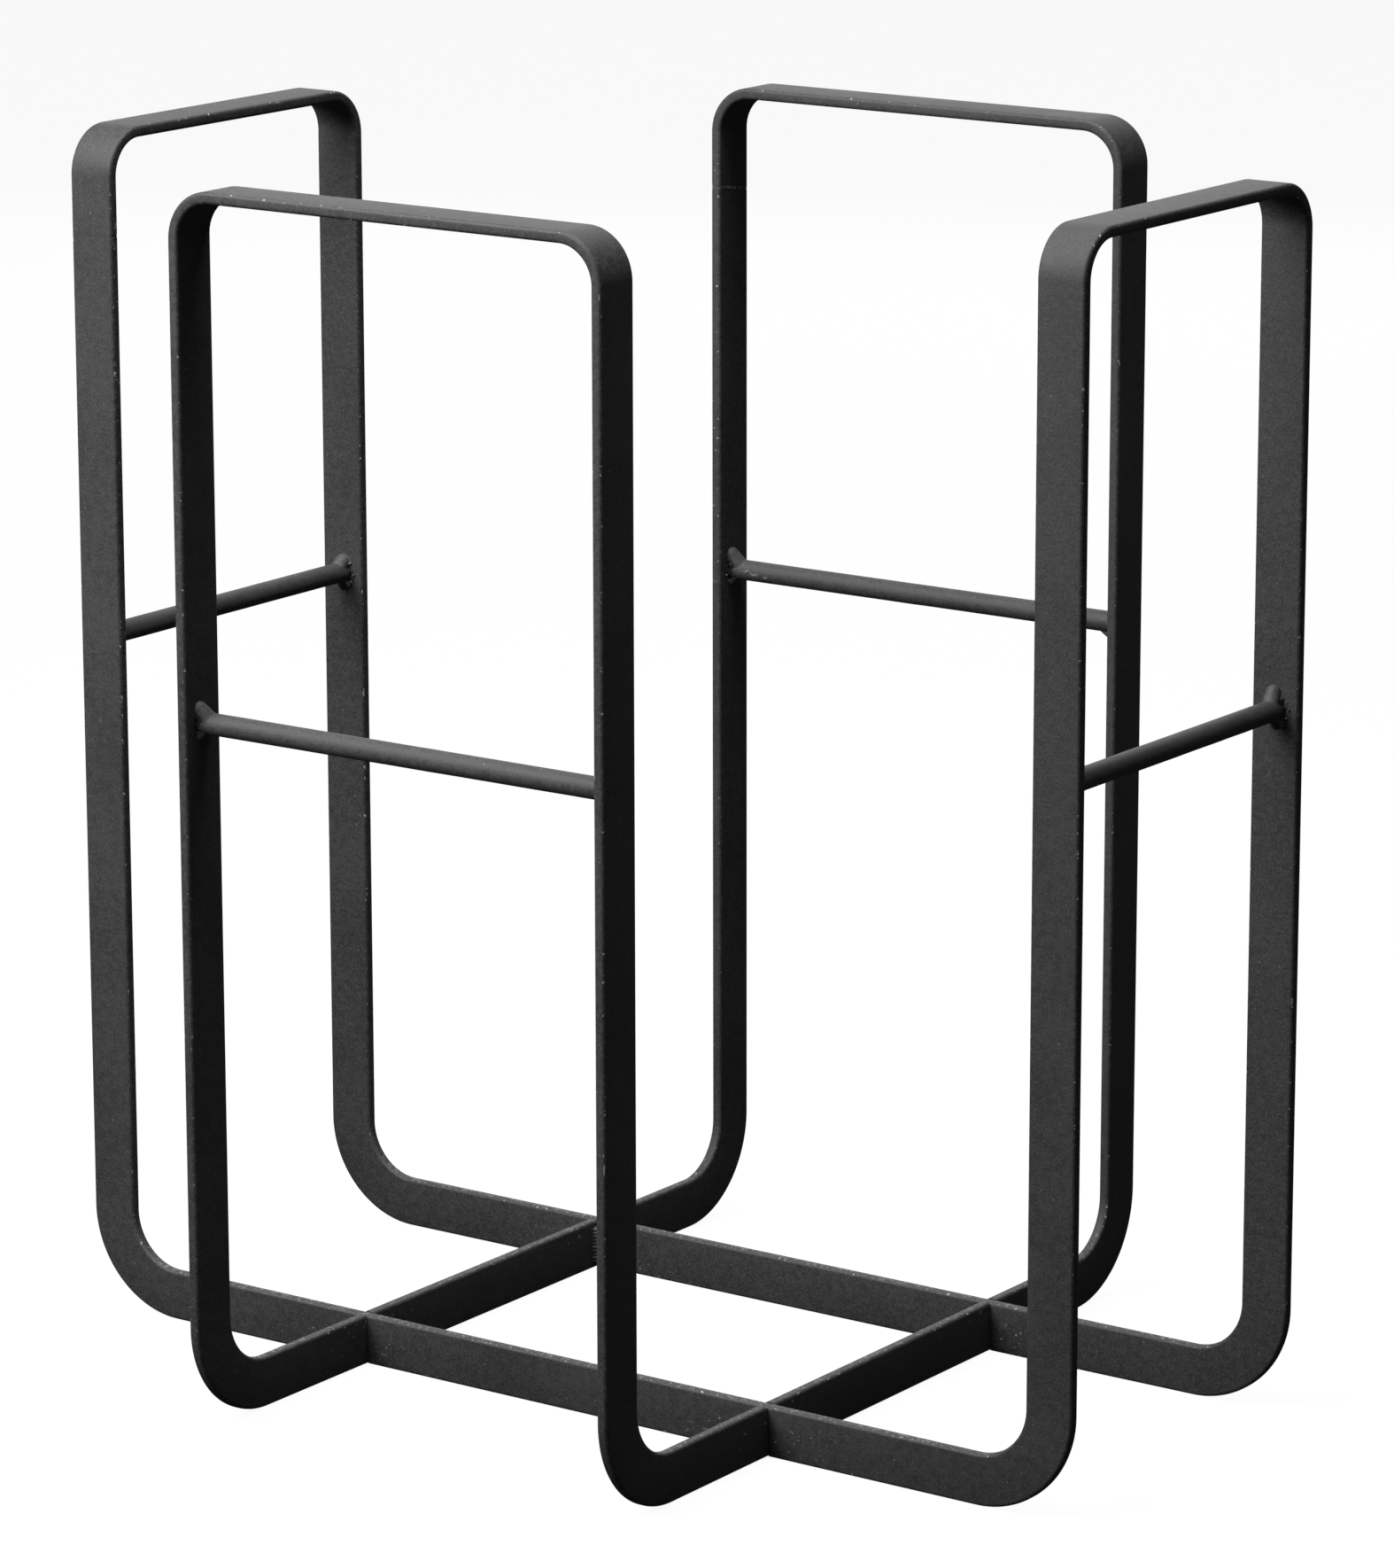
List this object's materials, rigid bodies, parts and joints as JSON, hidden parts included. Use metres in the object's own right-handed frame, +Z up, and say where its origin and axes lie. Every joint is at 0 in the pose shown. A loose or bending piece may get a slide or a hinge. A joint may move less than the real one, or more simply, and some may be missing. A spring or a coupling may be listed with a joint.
{
  "type": "magazine rack",
  "caption": "Open floor rack for newspapers and magazines: crossed bands of flat steel bar rise into tall rounded loops round a square bay, each loop braced by a round rod.",
  "frame": {"origin": "on the floor, under the middle of the rack", "axes": "+Z up, -Y towards the front loop, +X towards the right loop"},
  "size_m": [0.37, 0.29, 0.38],
  "materials": {
    "bar_coat": "matt black powder coat with a fine grain, on flat steel bar",
    "rod_coat": "matt black powder coat on round steel rod",
    "weld_coat": "black powder coat over rough weld beads"
  },
  "bodies": {
    "root": {"front_back_band": "bar_coat", "left_right_band": "bar_coat", "front_back_band_butt_weld": "weld_coat", "left_right_band_butt_weld": "weld_coat", "front_rod": "rod_coat", "back_rod": "rod_coat", "left_rod": "rod_coat", "right_rod": "rod_coat", "front_rod_weld_left": "weld_coat", "front_rod_weld_right": "weld_coat", "back_rod_weld_left": "weld_coat", "back_rod_weld_right": "weld_coat", "left_rod_weld_front": "weld_coat", "left_rod_weld_back": "weld_coat", "right_rod_weld_front": "weld_coat", "right_rod_weld_back": "weld_coat", "crossing_weld_front_left": "weld_coat", "crossing_weld_front_right": "weld_coat", "crossing_weld_back_left": "weld_coat", "crossing_weld_back_right": "weld_coat"}
  },
  "joints": []
}
